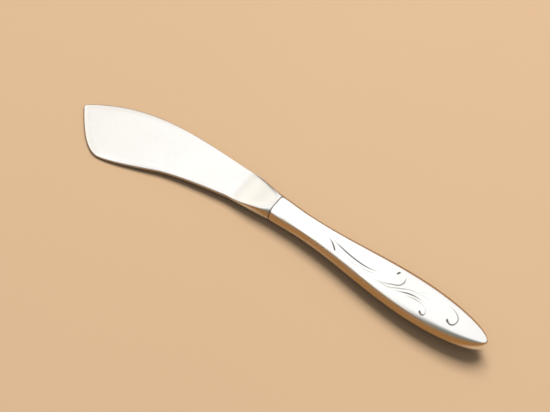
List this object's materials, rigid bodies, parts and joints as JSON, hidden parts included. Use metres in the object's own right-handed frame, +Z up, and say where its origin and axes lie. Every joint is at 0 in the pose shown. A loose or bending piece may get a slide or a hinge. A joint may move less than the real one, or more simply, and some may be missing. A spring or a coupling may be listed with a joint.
{
  "type": "butter knife",
  "caption": "Butter knife with a broad curved blade on a thickened bolster and a hollow, softly swelling silver handle.",
  "frame": {"origin": "middle of the knife's box, on the surface that it lies on", "axes": "+X along the handle to its butt, +Z up, the blade sweeping to -Y"},
  "size_m": [0.1808, 0.0309, 0.0122],
  "materials": {
    "silver": "polished",
    "stainless": "polished",
    "solder": "satin",
    "cement": "matte"
  },
  "bodies": {
    "root": {"blade": "stainless", "top_shell": "silver", "bottom_shell": "silver", "seam_solder": "solder", "handle_cement": "cement", "mouth_cement": "cement"}
  },
  "joints": []
}
